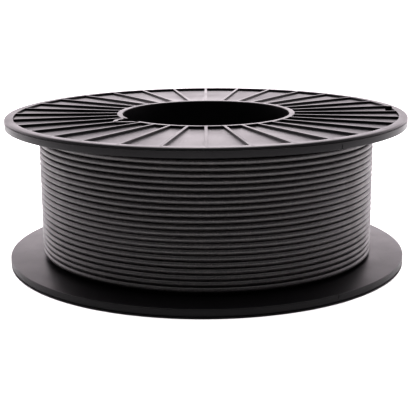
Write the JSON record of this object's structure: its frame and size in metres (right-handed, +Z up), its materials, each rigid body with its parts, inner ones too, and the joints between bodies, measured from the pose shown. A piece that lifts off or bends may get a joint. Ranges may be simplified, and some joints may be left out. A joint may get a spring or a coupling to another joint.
{
  "type": "filament spool",
  "caption": "Ribbed plastic spool with a wide open hub, wound full of round filament whose ends sit in a hub notch and a slot beside the rim.",
  "frame": {"origin": "centre of the outer face of the lower flange, on the spool's axis, where the spool stands", "axes": "+Z up along the spool's axis, -Y the front, +X to the right seen from the front"},
  "size_m": [0.2, 0.2, 0.0741],
  "materials": {
    "flange_plastic": "black injection-moulded plastic with a fine satin sheen",
    "hub_plastic": "black injection-moulded plastic with a fine satin sheen",
    "filament": "matte fibre-filled extruded strand, dark grey with fine grain"
  },
  "bodies": {
    "root": {"upper_flange": "flange_plastic", "lower_flange": "flange_plastic", "hub_barrel": "hub_plastic", "filament_layer_01": "filament", "filament_layer_02": "filament", "filament_layer_03": "filament", "filament_layer_04": "filament", "filament_layer_05": "filament", "filament_layer_06": "filament", "filament_layer_07": "filament", "filament_layer_08": "filament", "filament_layer_09": "filament", "filament_layer_10": "filament", "filament_layer_11": "filament", "filament_layer_12": "filament", "filament_layer_13": "filament", "filament_layer_14": "filament", "filament_start_tail": "filament", "filament_end_tail": "filament"}
  },
  "joints": []
}
